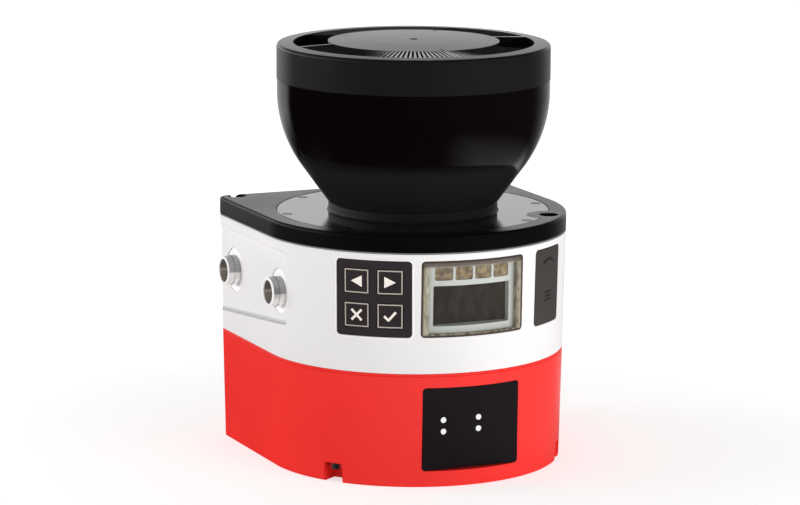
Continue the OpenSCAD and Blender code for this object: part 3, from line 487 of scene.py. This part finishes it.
def quads_on(name, face, quads, body, material, proud_mm):
    """Thin raised piece that follows a face. Each quad is four (u, v) corners, in order."""
    bm = bmesh.new()
    for a, b, c, d in ([Vector(corner) for corner in quad] for quad in quads):
        columns = max(1, math.ceil(max((b - a).length, (c - d).length) / STEP))
        rows = max(1, math.ceil(max((d - a).length, (c - b).length) / STEP))
        grid = []
        for j in range(rows + 1):
            left = a.lerp(d, j / rows)
            right = b.lerp(c, j / rows)
            grid.append([bm.verts.new(face.point(*left.lerp(right, i / columns)))
                         for i in range(columns + 1)])
        for j in range(rows):
            for i in range(columns):
                bm.faces.new((grid[j][i], grid[j][i + 1], grid[j + 1][i + 1], grid[j + 1][i]))
    bmesh.ops.remove_doubles(bm, verts=bm.verts, dist=WELD * MM)
    bmesh.ops.recalc_face_normals(bm, faces=bm.faces)
    mesh = bpy.data.meshes.new(name)
    bm.to_mesh(mesh)
    bm.free()
    piece = bpy.data.objects.new(name, mesh)
    bpy.context.scene.collection.objects.link(piece)
    thick = piece.modifiers.new("thick", "SOLIDIFY")
    thick.thickness = 2 * proud_mm * MM
    thick.offset = 0
    mesh.materials.append(material)
    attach(piece, body)
    return piece


def bar(a, b, width):
    """Quad of a straight bar of one width from a to b."""
    a, b = Vector(a), Vector(b)
    side = (b - a).orthogonal().normalized() * width / 2
    return (a - side, b - side, b + side, a + side)


def square_ring(w, h, line):
    """Four quads round a rectangle, line wide."""
    outer = [(-w / 2, -h / 2), (w / 2, -h / 2), (w / 2, h / 2), (-w / 2, h / 2)]
    inner = [(x - math.copysign(line, x), y - math.copysign(line, y)) for x, y in outer]
    return [(outer[i], outer[(i + 1) % 4], inner[(i + 1) % 4], inner[i]) for i in range(4)]


def bearing_of(joint):
    """Bearing of a joint whose axis points at the scan axis."""
    x, y, _ = joint["axis"]
    return math.atan2(-x, y)


PRINT = 0.03  # how far print stands proud
OUTLINE_W = 8.9  # width of a key's printed outline
OUTLINE_H = 8.5  # its height
OUTLINE_LINE = 0.42  # width of its line
ARROW = 2.05  # half the size of an arrow
MARK = 1.9  # half the size of the cross, and near half the size of the tick
STROKE = 0.85  # width of their bars
BEND = (-0.3 * MARK, -0.8 * MARK)  # where the tick's short bar ends

icons = {
    "left": [((ARROW, -ARROW), (ARROW, ARROW), (-ARROW, 0), (-ARROW, 0))],
    "right": [((-ARROW, -ARROW), (-ARROW, ARROW), (ARROW, 0), (ARROW, 0))],
    "cancel": [
        bar((-MARK, -MARK), (MARK, MARK), STROKE),
        bar((-MARK, MARK), (-STROKE * 0.35, STROKE * 0.35), STROKE),
        bar((STROKE * 0.35, -STROKE * 0.35), (MARK, -MARK), STROKE),
    ],
    "confirm": [
        bar((-MARK * 1.1, 0), BEND, STROKE),
        bar((BEND[0] - STROKE * 0.2, -MARK * 0.9), (MARK * 1.1, MARK * 0.8), STROKE),
    ],
}

print_pale = moulded("print_pale", srgb(182, 172, 163), rough=0.5, depth_mm=0.002, edge_mm=0.0)
print_icon = moulded("print_icon", srgb(246, 236, 228), rough=0.5, depth_mm=0.002, edge_mm=0.0)
key_joints = {j["name"]: j for j in frame["joints"] if j["name"].startswith("key_")}
ring = square_ring(OUTLINE_W, OUTLINE_H, OUTLINE_LINE)
for sign, quads in icons.items():
    node = "key_" + sign
    face = Face(node, bearing_of(key_joints[node + "_press"]), span(node)[2].z)
    quads_on(node + "_outline", face, ring, node, print_pale, PRINT)
    quads_on(node + "_sign", face, quads, node, print_icon, PRINT)


CORNER_STEPS = 5  # straight steps in a rounded corner


def rounded_square(side, r):
    """Points round a square with rounded corners, in mm about its middle."""
    points = []
    for quarter in range(4):
        x = (side / 2 - r) * (1, -1, -1, 1)[quarter]
        y = (side / 2 - r) * (1, 1, -1, -1)[quarter]
        for i in range(CORNER_STEPS + 1):
            a = math.radians(90 * (quarter + i / CORNER_STEPS))
            points.append((x + r * math.cos(a), y + r * math.sin(a)))
    return points


def divided(points):
    """The same closed path with points no further apart than STEP."""
    out = []
    for a, b in zip(points, points[1:] + points[:1]):
        a, b = Vector(a), Vector(b)
        count = max(1, math.ceil((b - a).length / STEP))
        out += [tuple(a.lerp(b, i / count)) for i in range(count)]
    return out


def bead_on(name, face, path, radius_mm, body, material):
    """Fine round bead along a closed path on a face."""
    data = bpy.data.curves.new(name, "CURVE")
    data.dimensions = "3D"
    data.bevel_depth = radius_mm * MM
    data.bevel_resolution = 2
    line = data.splines.new("POLY")
    places = [face.point(u, v) for u, v in divided(path)]
    line.points.add(len(places) - 1)
    for point, place in zip(line.points, places):
        point.co = (*place, 1)
    line.use_cyclic_u = True
    data.materials.append(material)
    piece = bpy.data.objects.new(name, data)
    bpy.context.scene.collection.objects.link(piece)
    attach(piece, body)
    return piece


LIP_R = 0.22  # radius of the lip round the keypad's recess
LIP_CORNER = 1.8  # radius of its corners
LIP_WIDER = 0.95  # how much wider it is than the keypad plate, from middle to middle of the lip

keypad_low, keypad_high, keypad_middle = span("keypad_panel")
left, right = (bearing_of(key_joints[name]) for name in ("key_left_press", "key_right_press"))
lip_side = (keypad_high.z - keypad_low.z) / MM + LIP_WIDER
# The lip is a real bead. Its colour, whiter than the shell, is partly a painted highlight along the
# recess's edge.
lip_painted_highlight = moulded("lip_painted_highlight", srgb(250, 249, 248), depth_mm=0.002, edge_mm=0.0)
shell = Face("upper_housing", (left + right) / 2, keypad_middle.z)
lip = bead_on("keypad_lip", shell, rounded_square(lip_side, LIP_CORNER), LIP_R, "housing", lip_painted_highlight)


GRIP_HALF = 3.6  # half the width of the arched grip at the top of the USB cover
GRIP_RISE = 9.6  # height of its crown above the cover's middle
GRIP_DROP = 1.05  # how far its ends lie below its crown
GRIP_BARS = 6  # straight bars in it
GRIP_LINE = 0.7  # width of its line
GRIP_PROUD = 0.18  # how far it stands proud
RIB_HALF = 2.2  # half the length of the three ribs below
RIB_HEIGHTS = (-5.2, -3.8, -2.4)  # their heights above the cover's middle
RIB_LINE = 0.55  # their width
RIB_PROUD = 0.15  # how far they stand proud

usb_joint = next(j for j in frame["joints"] if j["name"] == "usb_flap_hinge")
usb_bearing = math.atan2(usb_joint["axis"][1], usb_joint["axis"][0])
usb_face = Face("usb_cover", usb_bearing, span("usb_cover")[2].z)
usb_mark = moulded("usb_mark", srgb(42, 37, 37), rough=0.55, grain_mm=0.5, depth_mm=0.03, edge_mm=0.2)
shares = [2 * i / GRIP_BARS - 1 for i in range(GRIP_BARS + 1)]
arch = [(GRIP_HALF * share, GRIP_RISE - GRIP_DROP * share ** 2) for share in shares]
grip_bars = [bar(a, b, GRIP_LINE) for a, b in zip(arch, arch[1:])]
grip = quads_on("usb_cover_grip", usb_face, grip_bars, "usb_flap", usb_mark, GRIP_PROUD)
ribs = [bar((-RIB_HALF, v), (RIB_HALF, v), RIB_LINE) for v in RIB_HEIGHTS]
quads_on("usb_cover_ribs", usb_face, ribs, "usb_flap", usb_mark, RIB_PROUD)


# ---------------------------------------------------------------- stage, lights and camera

WHITE = (1, 1, 1, 1)
BACK = (-0.25, 0.97, 0.0)  # where the lit backdrop stands
PAPER_SIZE = 12
PAPER_GREY = (0.62, 0.62, 0.62, 1)  # the paper's colour, to which its own glow is added
UNLIT = (-0.22, 0.12, 0)  # the middle of the patch of paper that gives no light back
AIM = (0, 0, 0.08)  # where the lamps point

# Levels of light, where 1 is white
FRONT_GLOSS, BACK_GLOSS = 0.02, 1.45  # mirrored by gloss, in front of the object and behind it
FAR_GLOSS = 0.38  # share of it that the paper takes on, far off
NEAR_GLOSS = 1.8  # mirrored by gloss, from the paper close by on the right
HIGH_GLOSS = 0.06  # share of the backdrop's level that is left overhead
LOW_LIGHT, HIGH_LIGHT = 0.88, 0.25  # on matt surfaces, from low down and from overhead
BACK_LIGHT = 0.45  # share of the backdrop's level that is added to it
SHADE_SEEN, PAPER_SEEN = 0.66, 0.95  # glow that the camera sees close to the object, dimmed there as painted shade round its foot, and far off


def backdrop_level(g, way):
    """How bright the studio is in gloss in a direction: white at the back, dark in front."""
    return g.smooth(g.vector("DOT_PRODUCT", way, BACK)["Value"], -0.2, 0.85, FRONT_GLOSS, BACK_GLOSS)


def mirrored_floor(g, place, way, away):
    """How bright the paper is in gloss: lit far off at the back, and close by on the right."""
    sideways, rearward, _ = g.parts(way)
    far = g.times(backdrop_level(g, way), g.smooth(away, 0.26, 0.6, 0.0, FAR_GLOSS))
    far = g.times(far, g.smooth(sideways, -0.54, -0.38))
    near = g.smooth(away, 0.08, 0.3, NEAR_GLOSS, 0.06)
    near = g.times(near, g.smooth(g.parts(place)[0], 0.0, 0.1, 0.02, 1.0))
    near = g.times(near, g.smooth(rearward, 0.1, 0.5, 0.2, 1.0))
    return g.plus(far, near)


def floor():
    """White paper. Close to the object its glow is dimmer, a painted shade round its foot in which its
    real shadows also show. Further off the camera sees it plain white.
    """
    bpy.ops.mesh.primitive_plane_add(size=PAPER_SIZE, location=(0, 0, 0))
    ground = bpy.context.object
    ground.name = "floor"
    m = Surface("floor_white")
    rays = m.add("ShaderNodeLightPath")
    way = m.vector("NORMALIZE", m.place)[0]
    away = m.vector("LENGTH", m.place)["Value"]
    aside = m.vector("DISTANCE", m.place, UNLIT)["Value"]
    # The lit paper gives its light back to matt surfaces, least close by on the left
    given = m.smooth(aside, 0.12, 0.42)
    # Painted shade: the glow that the camera sees is dimmer close to the object
    seen = m.smooth(away, 0.08, 0.35, SHADE_SEEN, PAPER_SEEN)
    level = m.pick(rays["Is Camera Ray"], given, seen)
    glow = m.add("ShaderNodeEmission", {"Color": WHITE, "Strength": level})[0]
    matt = m.add("ShaderNodeBsdfDiffuse", {"Color": PAPER_GREY})[0]
    lit = m.add("ShaderNodeAddShader", {0: matt, 1: glow})[0]
    level = mirrored_floor(m, m.place, way, away)
    mirrored = m.add("ShaderNodeEmission", {"Color": WHITE, "Strength": level})[0]
    both = m.add("ShaderNodeMixShader", {0: rays["Is Glossy Ray"], 1: lit, 2: mirrored})[0]
    m.put(m.output.inputs["Surface"], both)
    ground.data.materials.append(m.material)


def world():
    """White to the camera and lit from behind in gloss. Matt surfaces get most light from low down."""
    made = bpy.data.worlds.new("studio")
    bpy.context.scene.world = made
    made.use_nodes = True
    g = Graph(made.node_tree)
    rays = g.add("ShaderNodeLightPath")
    way = g.add("ShaderNodeTexCoord")["Generated"]
    up = g.parts(way)[2]
    mirrored = g.times(backdrop_level(g, way), g.smooth(up, 0.1, 0.36, 1.0, HIGH_GLOSS))
    given = g.plus(g.times(mirrored, BACK_LIGHT), g.smooth(up, 0.0, 0.4, LOW_LIGHT, HIGH_LIGHT))
    level = g.pick(rays["Is Diffuse Ray"], mirrored, given)
    sky = g.tree.nodes["Background"].inputs
    g.put(sky["Color"], WHITE)
    g.put(sky["Strength"], g.most(level, rays["Is Camera Ray"]))


def softbox(name, place, size, watts):
    """Soft lamp on matt surfaces. In gloss the floor and the world take its part."""
    data = bpy.data.lights.new(name, "AREA")
    data.shape = "RECTANGLE"
    data.size, data.size_y = size
    data.energy = watts
    lamp = bpy.data.objects.new(name, data)
    bpy.context.scene.collection.objects.link(lamp)
    lamp.location = place
    lamp.rotation_mode = "QUATERNION"
    lamp.rotation_quaternion = (Vector(AIM) - Vector(place)).to_track_quat("-Z", "Y")
    lamp.visible_glossy = False


CAMERA_AZIMUTH = -23.746  # bearing of the camera, in degrees
CAMERA_ELEVATION = 10.619
CAMERA_ROLL = 0.267
CAMERA_TARGET = (-5.006, 0, 75.072)  # in mm
CAMERA_DISTANCE = 1.3671
CAMERA_LENS = 168.78  # focal length in mm, on a sensor that is 36 mm wide


def camera():
    angles = (CAMERA_AZIMUTH, CAMERA_ELEVATION, CAMERA_ROLL)
    azimuth, elevation, roll = (math.radians(a) for a in angles)
    away = Vector((
        math.sin(azimuth) * math.cos(elevation),
        -math.cos(azimuth) * math.cos(elevation),
        math.sin(elevation),
    ))
    data = bpy.data.cameras.new("camera")
    data.lens = CAMERA_LENS
    data.sensor_width = 36
    data.clip_start, data.clip_end = 0.05, 50
    made = bpy.data.objects.new("camera", data)
    bpy.context.scene.collection.objects.link(made)
    made.location = Vector(CAMERA_TARGET) * MM + away * CAMERA_DISTANCE
    made.rotation_mode = "QUATERNION"
    made.rotation_quaternion = (-away).to_track_quat("-Z", "Y") @ Quaternion((0, 0, 1), roll)
    bpy.context.scene.camera = made


floor()
world()
camera()
softbox("key", place=(0.5, -1.12, 0.2), size=(0.9, 0.35), watts=7.9)
softbox("fill", place=(-1.2, 0.5, 0.22), size=(0.9, 0.3), watts=10.5)
bpy.context.scene.view_settings.view_transform = "Standard"
